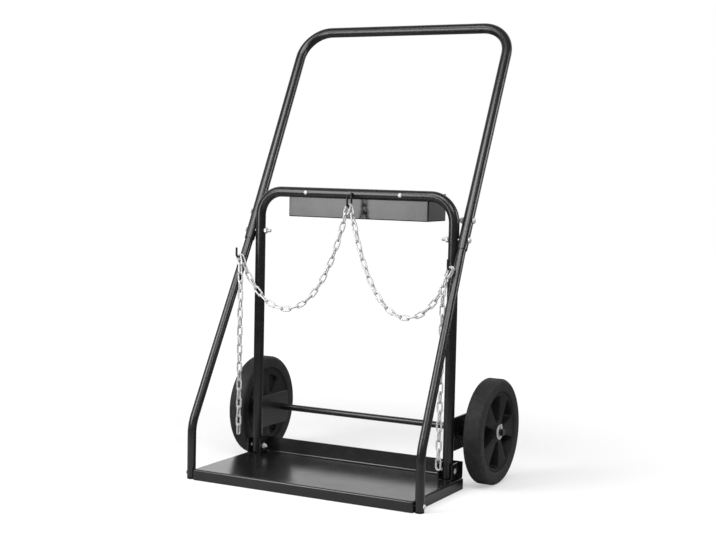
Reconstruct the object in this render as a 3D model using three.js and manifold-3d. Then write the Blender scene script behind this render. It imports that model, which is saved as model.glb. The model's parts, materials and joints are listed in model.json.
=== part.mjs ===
// A two-cylinder welding cart: a sheet-steel tray, a bent-tube back frame and
// handle on two raking struts, a tool box, two wheels and two safety chains.
// Millimetres. X runs to the cart's left-right, Y to its back, Z up.

import * as THREE from 'three';
import { mergeVertices } from 'three/addons/utils/BufferGeometryUtils.js';
import Module from 'manifold-3d';

const wasm = await Module();
wasm.setup();

// Clearance between pieces that touch.
const GAP = 0.3;

// How far a cutting tool runs past the piece that it cuts.
const REACH = 40;

// Tubes: the struts are a slip fit inside the handle.
const TUBE_R = 12.6;
const TUBE_WALL = 1.9;
const STRUT_R = TUBE_R - TUBE_WALL - GAP;
const STRUT_WALL = 1.9;

// Back frame, an inverted U whose legs stand in the plane Y = 0.
const LEG_X = 263.5;
const CROSSBAR_Z = 686.8;
const FRAME_BEND = 60;

// Handle, a U that leans back beside the legs and slips over the struts.
const HANDLE_X = LEG_X + 2 * TUBE_R + 2 * GAP;
const LEAN = THREE.MathUtils.degToRad(26.85);
const JOINT_DROP = 98.3;
const JOINT_Z = CROSSBAR_Z - JOINT_DROP;
const HANDLE_TOP_Z = 1099;
const HANDLE_BEND = 75;
const SLEEVE_BELOW = 24.5;
const JOINT_BOLT_PITCH = 50;
const STRUT_INSIDE = 80;

// Struts: they rake forward from the handle and turn down to the tray's front corners.
const STRUT_FOOT_X = 302.5;
const STRUT_FOOT_Y = -232;
const STRUT_BEND = 100;
const KINK_BELOW_SLEEVE = 6;
const STRUT_KINK = SLEEVE_BELOW + KINK_BELOW_SLEEVE;
const PLUG_H = 4;
const PLUG_SPIGOT = 5;
const FOOT_BOLT_Z = 15;

// Base tray: front and side flanges turned down to the floor, rear flange up.
const SHEET = 2.5;
const TRAY_X = STRUT_FOOT_X - STRUT_R - GAP;
const TRAY_PAST_STRUT = 12;
const TRAY_FRONT_Y = STRUT_FOOT_Y - TRAY_PAST_STRUT;
const TRAY_REAR_Y = 32;
const TRAY_Z = 26;
const TRAY_BEND = 5;
const TRAY_CORNER = 6;
const REAR_FLANGE_H = 38.5;

// Foot brackets that hold the legs on the tray.
const BRACKET_H = 38;
const BRACKET_DEPTH = 34;
const BRACKET_SHEET = 3;
const LEG_BOLT_H = 20;

// Tool box behind the crossbar.
const BOX_X = 190.5;
const BOX_DEPTH = 100;
const BOX_DROP = 60.8;
const BOX_Z = CROSSBAR_Z - BOX_DROP;
const BOX_H = 65;
const BOX_LUG_H = 6;
const BOX_SHEET = 1.6;
const BOX_CORNER = 4;
const BOX_BOLT_X = 128;

// Axle and its plates.
const AXLE_R = 8;
const AXLE_Y = 116.8;
const AXLE_CHAMFER = 1.5;
const PLATE_T = 5;
const PLATE_H = 80;
const PLATE_BEHIND_AXLE = 28;
const PLATE_CORNER = 14;

// Wheels.
const WHEEL_R = 127;
const TYRE_H = 31;
const TYRE_W = 44.8;
const TYRE_SHOULDER = 9;
const BEAD_H = 6;
const BEAD_INSET = 5;
const SIDEWALL_INSET = 1;
const TYRE_INNER_X = 301.5;
const RIM_R = WHEEL_R - TYRE_H;
const RIM_W = 36;
const RIM_WALL = 6;
const HUB_R = 22;
const HUB_TAPER = 3;
const SPOKES = 5;
const SPOKE_HUB_W = 17;
const SPOKE_RIM_W = 50;
const WINDOW_FROM_HUB = 3;
const WINDOW_FROM_RIM = 1;
const HUB_OUTER_X = 343;
const AXLE_PAST_HUB = 13;
const AXLE_END = HUB_OUTER_X + AXLE_PAST_HUB;
const WASHER_R = 18;
const WASHER_T = 2;
const COTTER_R = 1.6;
const COTTER_EYE_R = 4.5;
const COTTER_EYE_TURN = 1.75 * Math.PI;
const COTTER_FROM_WASHER = 1;
const COTTER_NECK = 2;
const COTTER_TAIL = 6;

// Bolts.
const BOLT_R = 4;
const SMALL_BOLT_R = 3;
const HEAD_H = 0.62;
const HEAD_R = 1.75;
const NUT_H = 0.8;
const HEAD_CROWN_R = 0.7;
const HEAD_CROWN_H = 0.8;
const NUT_R = 1.85;
const THREAD_OUT = 6;
const JOINT_THREAD_OUT = 11;

// Hooks that carry the chains, and the chains themselves.
const HOOK_R = 2.6;
const HOOK_DROP = 64.5;
const HOOK_Z = JOINT_Z - HOOK_DROP;
const HOOK_INSET = 6;
const HOOK_REACH = 44;
const HOOK_TIP_H = 24;
const HOOK_BEND = 8;
const HOOK_PLAY = 1;
const EYE_W = 21;
const EYE_RISE = 3.2;
const EYE_H = 33;
const EYE_TIP_H = 26;
const EYE_TOP_Z = CROSSBAR_Z + EYE_RISE;
const EYE_BOTTOM_Z = EYE_TOP_Z - EYE_H;
const EYE_TIP_Z = EYE_BOTTOM_Z + EYE_TIP_H;
const EYE_BEND = 6;
const WIRE_R = 2.3;
const WIRE_SIDES = 4;
const LINK_L = 26.2;
const LINK_W = 11;
const LINK_WELD = 0.6;
const SEAT = 0.5;
const EYE_STRANDS_APART = 7;
const EYE_SPLAY = THREE.MathUtils.degToRad(22);
const HOOK_STRANDS_APART = 11;
const SWAG_LINKS = 23;
const TAIL_LINKS = { left: 20, right: 21 };
const TAIL_INWARD = [22, 10, 3].map(THREE.MathUtils.degToRad);
const TAIL_FORWARD = [12, 14].map(THREE.MathUtils.degToRad);

// Facets.
const TUBE_SIDES = 12;
const BORE_SIDES = 6;
const HOLE_SIDES = 6;
const AXLE_SIDES = 12;
const ROD_SIDES = 6;
const BEND_STEPS = 4;
const CORNER_STEPS = 2;
const WHEEL_STEPS = 24;
const EYE_STEPS = 7;

const X_AXIS = new THREE.Vector3(1, 0, 0);
const Y_AXIS = new THREE.Vector3(0, 1, 0);
const Z_AXIS = new THREE.Vector3(0, 0, 1);
const SIDES = [['left', -1], ['right', 1]];

const finish = (color, roughness, metalness) => (
  new THREE.MeshStandardMaterial({ color, roughness, metalness })
);
const coat = finish(0x17181a, 0.32, 0.3);
const zinc = finish(0xc8cbce, 0.3, 0.9);
const rubber = finish(0x2c2d2e, 0.9, 0);
const plastic = finish(0x1d1e20, 0.6, 0);

const vec = (x, y, z) => new THREE.Vector3(x, y, z);

// A closed three.js geometry as a solid that can be joined and cut.
function solid(geometry) {
  const bare = geometry.clone();
  bare.deleteAttribute('normal');
  bare.deleteAttribute('uv');
  const merged = mergeVertices(bare, 1e-4);
  return new wasm.Manifold(new wasm.Mesh({
    numProp: 3,
    vertProperties: new Float32Array(merged.attributes.position.array),
    triVerts: new Uint32Array(merged.index.array),
  }));
}

function geometryOf(body) {
  const mesh = body.getMesh();
  const geometry = new THREE.BufferGeometry();
  geometry.setAttribute('position', new THREE.BufferAttribute(mesh.vertProperties, 3));
  geometry.setIndex(new THREE.BufferAttribute(mesh.triVerts, 1));
  geometry.computeVertexNormals();
  return geometry;
}

const join = (...parts) => geometryOf(parts.map(solid).reduce((all, part) => all.add(part)));
const cut = (body, ...tools) => geometryOf(
  tools.map(solid).reduce((left, tool) => left.subtract(tool), solid(body)),
);

const block = (x0, x1, y0, y1, z0, z1) => (
  new THREE.BoxGeometry(x1 - x0, y1 - y0, z1 - z0)
    .translate((x0 + x1) / 2, (y0 + y1) / 2, (z0 + z1) / 2)
);

// A round bar along X, for pins and for the holes that they go through.
const barX = (r, x0, x1, y, z, sides = HOLE_SIDES) => (
  new THREE.CylinderGeometry(r, r, Math.abs(x1 - x0), sides)
    .rotateZ(Math.PI / 2)
    .translate((x0 + x1) / 2, y, z)
);

const barY = (r, x, y0, y1, z, sides = HOLE_SIDES) => (
  new THREE.CylinderGeometry(r, r, y1 - y0, sides).translate(x, (y0 + y1) / 2, z)
);

const ring = (r, sides, phase = 0) => Array.from({ length: sides }, (_, i) => {
  const angle = phase + (2 * Math.PI * i) / sides;
  return new THREE.Vector2(r * Math.cos(angle), r * Math.sin(angle));
});

const discShape = (r, sides = TUBE_SIDES) => new THREE.Shape(ring(r, sides));

function pipeShape(r, wall, boreSides) {
  const shape = discShape(r);
  shape.holes.push(new THREE.Path(ring(r - wall, boreSides)));
  return shape;
}

// A path through given stations, so that a straight run needs no extra rings.
// The section keeps one of its axes on the direction given as side.
class StationPath extends THREE.Curve {
  constructor(stations, side) {
    super();
    this.stations = stations;
    this.side = side;
  }

  getSpacedPoints() {
    return this.stations;
  }

  tangent(i) {
    const last = this.stations.length - 1;
    const leg = (k) => this.stations[k + 1].clone().sub(this.stations[k]).normalize();
    return leg(Math.min(i, last - 1)).add(leg(Math.max(i - 1, 0))).normalize();
  }

  computeFrenetFrames() {
    const tangents = this.stations.map((_, i) => this.tangent(i));
    const normals = tangents.map((t) => this.side.clone().projectOnPlane(t).normalize());
    const binormals = tangents.map((t, i) => t.clone().cross(normals[i]));
    return { tangents, normals, binormals };
  }
}

const sweep = (shape, stations, side) => new THREE.ExtrudeGeometry(shape, {
  steps: stations.length - 1,
  extrudePath: new StationPath(stations, side),
});

// The corners of a polyline turned into bends, as a tube bender makes them.
function bent(corners, radius, steps = BEND_STEPS) {
  return corners.flatMap((corner, i) => {
    if (i === 0 || i === corners.length - 1) return [corner];
    const back = corners[i - 1].clone().sub(corner).normalize();
    const on = corners[i + 1].clone().sub(corner).normalize();
    const turn = Math.PI - back.angleTo(on);
    const inward = back.clone().add(on).normalize();
    const centre = corner.clone().addScaledVector(inward, radius / Math.cos(turn / 2));
    const axis = on.clone().cross(back).normalize();
    const start = corner.clone().addScaledVector(back, radius * Math.tan(turn / 2)).sub(centre);
    return Array.from({ length: steps + 1 }, (_, k) => (
      start.clone().applyAxisAngle(axis, (turn * k) / steps).add(centre)
    ));
  });
}

// A point on the raking line of a handle tube, s along it from the joint bolt.
const onRake = (side, s) => (
  vec(side * HANDLE_X, s * Math.sin(LEAN), JOINT_Z + s * Math.cos(LEAN))
);

const cart = new THREE.Group();

function piece(name, geometry, material) {
  const mesh = new THREE.Mesh(geometry, material);
  mesh.name = name;
  cart.add(mesh);
}

// Base tray

function panBlock(inset, top, bend) {
  const x = TRAY_X - inset;
  const y0 = TRAY_FRONT_Y + inset;
  const y1 = TRAY_REAR_Y + REACH;
  const r = TRAY_CORNER - inset;
  const outline = new THREE.Shape();
  outline.moveTo(x, y1);
  outline.lineTo(-x, y1);
  outline.absarc(-x + r, y0 + r, r, Math.PI, 1.5 * Math.PI);
  outline.absarc(x - r, y0 + r, r, 1.5 * Math.PI, 2 * Math.PI);
  const depth = 2 * TRAY_Z;
  return new THREE.ExtrudeGeometry(outline, {
    depth,
    curveSegments: CORNER_STEPS,
    bevelThickness: bend,
    bevelSize: bend,
    bevelOffset: -bend,
    bevelSegments: CORNER_STEPS,
  }).translate(0, 0, top - depth - bend);
}

function trayGeometry() {
  const bendStart = TRAY_REAR_Y - TRAY_BEND;
  const far = 2 * TRAY_X;
  const flange = new THREE.Shape();
  const outerR = TRAY_BEND + SHEET;
  flange.moveTo(bendStart - SHEET, TRAY_Z - SHEET);
  flange.absarc(bendStart, TRAY_Z + TRAY_BEND, outerR, -Math.PI / 2, 0);
  flange.lineTo(TRAY_REAR_Y + SHEET, TRAY_Z + REAR_FLANGE_H);
  flange.lineTo(TRAY_REAR_Y, TRAY_Z + REAR_FLANGE_H);
  flange.absarc(bendStart, TRAY_Z + TRAY_BEND, TRAY_BEND, 0, -Math.PI / 2, true);
  flange.lineTo(bendStart - SHEET, TRAY_Z);
  const width = 2 * (TRAY_X - TRAY_BEND);
  const options = { depth: width, bevelEnabled: false, curveSegments: CORNER_STEPS };
  const upturn = new THREE.ExtrudeGeometry(flange, options)
    .rotateY(Math.PI / 2)
    .rotateX(Math.PI / 2)
    .translate(-width / 2, 0, 0);
  const pan = cut(
    panBlock(0, TRAY_Z, TRAY_BEND),
    panBlock(SHEET, TRAY_Z - SHEET, TRAY_BEND - SHEET),
    block(-far, far, bendStart, far, -far, far),
    block(-far, far, -far, far, -far, 0),
  );
  return cut(join(pan, upturn), barX(SMALL_BOLT_R + GAP, -far, far, STRUT_FOOT_Y, FOOT_BOLT_Z));
}

// Back frame, handle and struts

function rearFrameGeometry() {
  const foot = TRAY_Z + BRACKET_SHEET + 2 * GAP;
  const path = bent([
    vec(-LEG_X, 0, foot),
    vec(-LEG_X, 0, CROSSBAR_Z),
    vec(LEG_X, 0, CROSSBAR_Z),
    vec(LEG_X, 0, foot),
  ], FRAME_BEND);
  const holes = [-1, 1].flatMap((side) => [
    barX(BOLT_R + GAP, side * (LEG_X - REACH), side * (LEG_X + REACH), 0, JOINT_Z),
    barX(BOLT_R + GAP, side * (LEG_X - REACH), side * (LEG_X + REACH), 0, TRAY_Z + LEG_BOLT_H),
    barY(SMALL_BOLT_R + GAP, side * BOX_BOLT_X, -REACH, REACH, CROSSBAR_Z),
  ]);
  return cut(sweep(pipeShape(TUBE_R, TUBE_WALL, BORE_SIDES), path, Y_AXIS), ...holes);
}

const jointHoles = (side) => [0, JOINT_BOLT_PITCH].map((s) => {
  const at = onRake(side, s);
  return barX(BOLT_R + GAP, at.x - REACH, at.x + REACH, at.y, at.z);
});

function handleGeometry() {
  const top = (HANDLE_TOP_Z - JOINT_Z) / Math.cos(LEAN);
  const path = bent([
    onRake(-1, -SLEEVE_BELOW),
    onRake(-1, top),
    onRake(1, top),
    onRake(1, -SLEEVE_BELOW),
  ], HANDLE_BEND);
  const facing = vec(0, Math.cos(LEAN), -Math.sin(LEAN));
  const tube = sweep(pipeShape(TUBE_R, TUBE_WALL, TUBE_SIDES), path, facing);
  return cut(tube, ...jointHoles(-1), ...jointHoles(1));
}

// The strut's corner points: its top inside the handle, the slight turn
// outward below the sleeve, the bend above the foot, and the foot.
function strutCorners(side) {
  const bendZ = JOINT_Z + STRUT_FOOT_Y / Math.tan(LEAN);
  return [
    onRake(side, STRUT_INSIDE),
    onRake(side, -STRUT_KINK),
    vec(side * STRUT_FOOT_X, STRUT_FOOT_Y, bendZ),
    vec(side * STRUT_FOOT_X, STRUT_FOOT_Y, PLUG_H + GAP),
  ];
}

function strutPath(side) {
  const [top, kink, bend, foot] = strutCorners(side);
  return [top, ...bent([kink, bend, foot], STRUT_BEND, CORNER_STEPS)];
}

function strutGeometry(side) {
  const tube = sweep(pipeShape(STRUT_R, STRUT_WALL, BORE_SIDES), strutPath(side), X_AXIS);
  const x = side * STRUT_FOOT_X;
  const footHole = barX(SMALL_BOLT_R + GAP, x - REACH, x + REACH, STRUT_FOOT_Y, FOOT_BOLT_Z);
  return cut(tube, ...jointHoles(side), footHole);
}

function plugGeometry(side) {
  const bore = (STRUT_R - STRUT_WALL) * Math.cos(Math.PI / BORE_SIDES) - GAP;
  const profile = [
    [0, 0], [STRUT_R, 0], [STRUT_R, PLUG_H],
    [bore, PLUG_H], [bore, PLUG_H + PLUG_SPIGOT], [0, PLUG_H + PLUG_SPIGOT],
  ].map(([r, z]) => new THREE.Vector2(r, z));
  return new THREE.LatheGeometry(profile, TUBE_SIDES)
    .rotateX(Math.PI / 2)
    .translate(side * STRUT_FOOT_X, STRUT_FOOT_Y, 0);
}

// Foot brackets: a strap bent up on both sides of each leg.
function bracketGeometry(side) {
  const inside = TUBE_R + GAP;
  const outside = inside + BRACKET_SHEET;
  const r = BRACKET_SHEET;
  const strap = new THREE.Shape();
  strap.moveTo(-outside, BRACKET_H);
  strap.absarc(-outside + r, r, r, Math.PI, 1.5 * Math.PI);
  strap.absarc(outside - r, r, r, 1.5 * Math.PI, 2 * Math.PI);
  strap.lineTo(outside, BRACKET_H);
  strap.lineTo(inside, BRACKET_H);
  strap.lineTo(inside, BRACKET_SHEET);
  strap.lineTo(-inside, BRACKET_SHEET);
  strap.lineTo(-inside, BRACKET_H);
  const options = { depth: BRACKET_DEPTH, bevelEnabled: false, curveSegments: CORNER_STEPS };
  const body = new THREE.ExtrudeGeometry(strap, options)
    .rotateX(Math.PI / 2)
    .translate(side * LEG_X, BRACKET_DEPTH / 2, TRAY_Z + GAP);
  const far = 2 * LEG_X;
  return cut(body, barX(BOLT_R + GAP, -far, far, 0, TRAY_Z + LEG_BOLT_H));
}

// Tool box

function roundedRect(x, y0, y1, r) {
  const shape = new THREE.Shape();
  shape.absarc(-x + r, y0 + r, r, Math.PI, 1.5 * Math.PI);
  shape.absarc(x - r, y0 + r, r, 1.5 * Math.PI, 2 * Math.PI);
  shape.absarc(x - r, y1 - r, r, 0, 0.5 * Math.PI);
  shape.absarc(-x + r, y1 - r, r, 0.5 * Math.PI, Math.PI);
  return shape;
}

function toolBoxGeometry() {
  const y0 = TUBE_R + GAP;
  const y1 = y0 + BOX_DEPTH;
  const top = BOX_Z + BOX_H;
  const options = { depth: BOX_H, bevelEnabled: false, curveSegments: CORNER_STEPS };
  const outer = new THREE.ExtrudeGeometry(roundedRect(BOX_X, y0, y1, BOX_CORNER), options)
    .translate(0, 0, BOX_Z);
  const inner = new THREE.ExtrudeGeometry(
    roundedRect(BOX_X - BOX_SHEET, y0 + BOX_SHEET, y1 - BOX_SHEET, BOX_CORNER - BOX_SHEET),
    options,
  ).translate(0, 0, BOX_Z + BOX_SHEET);
  const x = BOX_X - BOX_CORNER;
  const lug = block(-x, x, y0, y0 + BOX_SHEET, top - 2 * BOX_LUG_H, top + BOX_LUG_H);
  const holes = [-1, 1].map((side) => (
    barY(SMALL_BOLT_R + GAP, side * BOX_BOLT_X, y0 - TUBE_R, y0 + BOX_DEPTH / 2, CROSSBAR_Z)
  ));
  return cut(join(cut(outer, inner), lug), ...holes);
}

// Axle, plates and what keeps the wheels on

function axlePlateGeometry(side) {
  const y0 = TUBE_R + GAP;
  const y1 = AXLE_Y + PLATE_BEHIND_AXLE;
  const z0 = WHEEL_R - PLATE_H / 2;
  const z1 = WHEEL_R + PLATE_H / 2;
  const shape = new THREE.Shape();
  shape.moveTo(y0, z1);
  shape.lineTo(y0, z0);
  shape.absarc(y1 - PLATE_CORNER, z0 + PLATE_CORNER, PLATE_CORNER, 1.5 * Math.PI, 2 * Math.PI);
  shape.absarc(y1 - PLATE_CORNER, z1 - PLATE_CORNER, PLATE_CORNER, 0, 0.5 * Math.PI);
  const centre = new THREE.Vector2(AXLE_Y, WHEEL_R);
  const hole = ring(AXLE_R + GAP, AXLE_SIDES).map((point) => point.add(centre));
  shape.holes.push(new THREE.Path(hole));
  return new THREE.ExtrudeGeometry(shape, { depth: PLATE_T, bevelEnabled: false, curveSegments: 4 })
    .rotateY(Math.PI / 2)
    .rotateX(Math.PI / 2)
    .translate(side * LEG_X - PLATE_T / 2, 0, 0);
}

const cotterX = HUB_OUTER_X + WASHER_T + 2 * GAP + COTTER_R + COTTER_FROM_WASHER;

function axleGeometry() {
  const tip = AXLE_R - AXLE_CHAMFER;
  const profile = [
    [0, -AXLE_END], [tip, -AXLE_END], [AXLE_R, AXLE_CHAMFER - AXLE_END],
    [AXLE_R, AXLE_END - AXLE_CHAMFER], [tip, AXLE_END], [0, AXLE_END],
  ].map(([r, x]) => new THREE.Vector2(r, x));
  const rod = new THREE.LatheGeometry(profile, AXLE_SIDES)
    .rotateZ(-Math.PI / 2)
    .translate(0, AXLE_Y, WHEEL_R);
  const holes = [-1, 1].map((side) => (
    new THREE.CylinderGeometry(COTTER_R + GAP, COTTER_R + GAP, 4 * AXLE_R, HOLE_SIDES)
      .rotateX(Math.PI / 2)
      .translate(side * cotterX, AXLE_Y, WHEEL_R)
  ));
  return cut(rod, ...holes);
}

function washerGeometry(side, innerX) {
  const shape = new THREE.Shape(ring(WASHER_R, AXLE_SIDES));
  shape.holes.push(new THREE.Path(ring(AXLE_R + GAP, AXLE_SIDES)));
  return new THREE.ExtrudeGeometry(shape, { depth: WASHER_T, bevelEnabled: false })
    .rotateY(Math.PI / 2)
    .translate(side > 0 ? innerX : -innerX - WASHER_T, AXLE_Y, WHEEL_R);
}

// A pin with a round eye above the axle.
function cotterGeometry(side) {
  const top = AXLE_R + COTTER_NECK;
  const start = Math.asin(COTTER_R / COTTER_EYE_R) - Math.PI / 2;
  const eye = Array.from({ length: EYE_STEPS + 1 }, (_, k) => {
    const angle = start + (k / EYE_STEPS) * COTTER_EYE_TURN;
    return vec(0, COTTER_EYE_R * Math.cos(angle), top + COTTER_EYE_R * (1 + Math.sin(angle)));
  });
  const shift = eye[0].y;
  const path = [vec(0, shift, -AXLE_R - COTTER_TAIL), ...eye].map((p) => p.add(vec(0, -shift, 0)));
  return sweep(discShape(COTTER_R, 5), path, X_AXIS).translate(side * cotterX, AXLE_Y, WHEEL_R);
}

// Wheels

const wheelX = (x) => x - TYRE_INNER_X - TYRE_W / 2;

const revolveX = (profile, steps) => (
  new THREE.LatheGeometry(profile.map(([r, x]) => new THREE.Vector2(r, x)), steps).rotateZ(-Math.PI / 2)
);

const placeWheel = (geometry, side) => (
  geometry
    .rotateZ(side > 0 ? 0 : Math.PI)
    .translate(side * (TYRE_INNER_X + TYRE_W / 2), AXLE_Y, WHEEL_R)
);

function tyreGeometry(side) {
  const half = TYRE_W / 2;
  const s = TYRE_SHOULDER;
  const bead = RIM_R + GAP;
  const shoulder = [0, 0.5, 1].map((t) => {
    const a = (t * Math.PI) / 2;
    return [WHEEL_R - s * (1 - Math.sin(a)), half - s * (1 - Math.cos(a))];
  });
  const outer = [[bead, half - BEAD_INSET], [bead + BEAD_H, half - SIDEWALL_INSET], ...shoulder];
  const mirrored = outer.map(([r, x]) => [r, -x]);
  const profile = [...mirrored, ...outer.reverse(), mirrored[0]];
  return placeWheel(revolveX(profile, WHEEL_STEPS), side);
}

// A rim with wedge-shaped windows between broad spokes, flush on both sides; its
// hub runs on inward.
function rimGeometry(side) {
  const half = RIM_W / 2;
  const lip = RIM_R - RIM_WALL;
  const nose = HUB_R - HUB_TAPER;
  const bore = AXLE_R + GAP;
  const hubOut = wheelX(HUB_OUTER_X);
  const hubIn = wheelX(LEG_X + PLATE_T / 2 + WASHER_T + 3 * GAP);
  const profile = [
    [bore, hubIn], [nose, hubIn], [HUB_R, -half], [RIM_R, -half],
    [RIM_R, half], [HUB_R, half], [nose, hubOut], [bore, hubOut], [bore, hubIn],
  ];
  const windowAngle = Math.PI / SPOKES;
  const near = HUB_R + WINDOW_FROM_HUB;
  const far = lip - WINDOW_FROM_RIM;
  const edge = (r, spokeW) => {
    const half0 = windowAngle - Math.asin(spokeW / 2 / r);
    return [half0, -half0].map((a) => new THREE.Vector2(r * Math.cos(a), r * Math.sin(a)));
  };
  const [farA, farB] = edge(far, SPOKE_RIM_W);
  const [nearA, nearB] = edge(near, SPOKE_HUB_W);
  const bow = new THREE.Vector2(far, 0);
  const windowShape = new THREE.Shape([nearB, farB, bow, farA, nearA]);
  const windows = Array.from({ length: SPOKES }, (_, i) => (
    new THREE.ExtrudeGeometry(windowShape, { depth: 2 * RIM_W, bevelEnabled: false })
      .translate(0, 0, -RIM_W)
      .rotateZ((2 * Math.PI * i) / SPOKES + Math.PI)
      .rotateY(Math.PI / 2)
      .rotateX(Math.PI / 2)
  ));
  return placeWheel(cut(revolveX(profile, WHEEL_STEPS), ...windows), side);
}

// Fasteners: a round-headed bolt along +X from its seat, and a hexagon nut.

function boltGeometry(r, length) {
  const headR = r * HEAD_R;
  const headH = 2 * r * HEAD_H;
  const profile = [
    [0, -headH], [headR * HEAD_CROWN_R, -headH * HEAD_CROWN_H], [headR, 0], [r, 0], [r, length], [0, length],
  ].map(([radius, x]) => new THREE.Vector2(radius, x));
  return new THREE.LatheGeometry(profile, HOLE_SIDES).rotateZ(-Math.PI / 2);
}

function nutGeometry(r) {
  const shape = new THREE.Shape(ring(r * NUT_R, 6));
  shape.holes.push(new THREE.Path(ring(r + GAP, HOLE_SIDES)));
  const options = { depth: 2 * r * NUT_H, bevelEnabled: false };
  return new THREE.ExtrudeGeometry(shape, options).rotateY(Math.PI / 2);
}

// A bolt from its head's seat to its nut's seat, both on the line of the vector along.
function fasten(name, r, headSeat, along, grip, threadOut = THREAD_OUT) {
  const length = grip + 2 * r * NUT_H + threadOut;
  const turn = new THREE.Quaternion().setFromUnitVectors(X_AXIS, along);
  const headAt = headSeat.clone().addScaledVector(along, -GAP);
  const nutAt = headSeat.clone().addScaledVector(along, grip + GAP);
  const place = (geometry, at) => geometry.applyQuaternion(turn).translate(at.x, at.y, at.z);
  piece(`${name}_bolt`, place(boltGeometry(r, length), headAt), zinc);
  piece(`${name}_nut`, place(nutGeometry(r), nutAt), zinc);
}

// Hooks

function centreHookGeometry() {
  const back = -(TUBE_R + HOOK_R + GAP);
  const front = back - EYE_W;
  const path = bent([
    vec(0, back, EYE_TOP_Z),
    vec(0, back, EYE_BOTTOM_Z),
    vec(0, front, EYE_BOTTOM_Z),
    vec(0, front, EYE_TIP_Z),
  ], EYE_BEND, 3);
  return sweep(discShape(HOOK_R, ROD_SIDES), path, X_AXIS);
}

// The strut's axis at a height, between its kink and its bend.
function strutAt(side, z) {
  const [, kink, bend] = strutCorners(side);
  return kink.clone().lerp(bend, (kink.z - z) / (kink.z - bend.z));
}

function sideHookGeometry(side) {
  const axis = strutAt(side, HOOK_Z);
  const x = axis.x - side * HOOK_INSET;
  const path = bent([
    vec(x, axis.y, HOOK_Z),
    vec(x, axis.y - HOOK_REACH, HOOK_Z),
    vec(x, axis.y - HOOK_REACH, HOOK_Z + HOOK_TIP_H),
  ], HOOK_BEND, 3);
  const strut = sweep(discShape(STRUT_R + GAP), strutPath(side), X_AXIS);
  return cut(sweep(discShape(HOOK_R, ROD_SIDES), path, X_AXIS), strut);
}

// Chains

// Links bear on the inner edge of the wire, and are fused where they bear.
const PITCH = LINK_L - 2 * WIRE_R + LINK_WELD;
const END_SEGMENTS = 8;

// One link, long along Z and flat in the XZ plane: a ring drawn out to length.
function linkGeometry() {
  const half = Math.PI / END_SEGMENTS;
  const radius = LINK_W / 2 / Math.cos(half);
  const link = new THREE.TorusGeometry(radius, WIRE_R, WIRE_SIDES, END_SEGMENTS)
    .rotateZ(half)
    .rotateX(Math.PI / 2);
  const stretch = (LINK_L - LINK_W) / 2;
  const position = link.attributes.position;
  for (let i = 0; i < position.count; i += 1) {
    const z = position.getZ(i);
    position.setZ(i, z + Math.sign(z) * stretch);
  }
  return link;
}

// Links set between the nodes of a hanging line, each a quarter turn from the
// last and bearing on it, as one body.
function chainGeometry(nodes, across) {
  const link = linkGeometry();
  const links = nodes.slice(1).map((end, k) => {
    const start = nodes[k];
    const along = start.clone().sub(end).normalize();
    const flat = across.clone().cross(along).normalize();
    const depth = along.clone().cross(flat);
    const frame = new THREE.Matrix4();
    if (k % 2 === 0) frame.makeBasis(flat, depth, along);
    else frame.makeBasis(depth, flat.clone().negate(), along);
    frame.setPosition(start.clone().add(end).multiplyScalar(0.5));
    return solid(link.clone().applyMatrix4(frame));
  });
  return geometryOf(links.reduce((all, one) => all.add(one)));
}

// How far the first node lies behind the rod that the end link hangs on.
const END_BACK = PITCH / 2 - LINK_L / 2 + HOOK_R + WIRE_R + SEAT;

const hookSeat = (side, back) => {
  const axis = strutAt(side, HOOK_Z);
  const y = axis.y - HOOK_REACH + HOOK_BEND + WIRE_R + HOOK_PLAY + back;
  return vec(axis.x - side * HOOK_INSET, y, HOOK_Z);
};

const eyeSeat = (side) => vec(
  0,
  -(TUBE_R + HOOK_R + GAP) - EYE_W / 2 + (side * EYE_STRANDS_APART) / 2,
  EYE_BOTTOM_Z,
);

// A catenary of given length between two points: the parameter by bisection.
function catenary(span, rise, length) {
  const target = Math.sqrt(length ** 2 - rise ** 2);
  let low = span / 20;
  let high = span * 20;
  for (let i = 0; i < 80; i += 1) {
    const a = (low + high) / 2;
    if (2 * a * Math.sinh(span / (2 * a)) > target) low = a;
    else high = a;
  }
  const a = (low + high) / 2;
  const lowest = span / 2 - a * Math.asinh(rise / (2 * a * Math.sinh(span / (2 * a))));
  return { a, lowest };
}

// The two first links push each other aside in the eye; the rest of the
// strand hangs in a catenary from there to the side hook.
function swagNodes(side) {
  const seat = eyeSeat(side);
  const to = hookSeat(side, HOOK_STRANDS_APART);
  const level = to.clone().sub(seat).setZ(0).normalize();
  const first = level.clone().multiplyScalar(Math.tan(EYE_SPLAY)).setZ(-1).setLength(PITCH);
  const start = seat.clone().addScaledVector(first, -END_BACK / PITCH);
  const from = start.clone().add(first);
  const span = Math.hypot(to.x - from.x, to.y - from.y);
  const length = (SWAG_LINKS - 1) * PITCH - END_BACK;
  const { a, lowest } = catenary(span, to.z - from.z, length);
  const arc0 = a * Math.sinh(-lowest / a);
  const base = from.z - a * Math.cosh(-lowest / a);
  const hanging = Array.from({ length: SWAG_LINKS }, (_, k) => {
    const x = lowest + a * Math.asinh((arc0 + k * PITCH) / a);
    const at = from.clone().addScaledVector(level, x);
    at.z = base + a * Math.cosh((x - lowest) / a);
    return at;
  });
  return [start, ...hanging];
}

function swagGeometry(side) {
  const nodes = swagNodes(side);
  const flat = nodes[nodes.length - 1].clone().sub(nodes[0]).setZ(0).normalize();
  return chainGeometry(nodes, Z_AXIS.clone().cross(flat));
}

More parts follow.
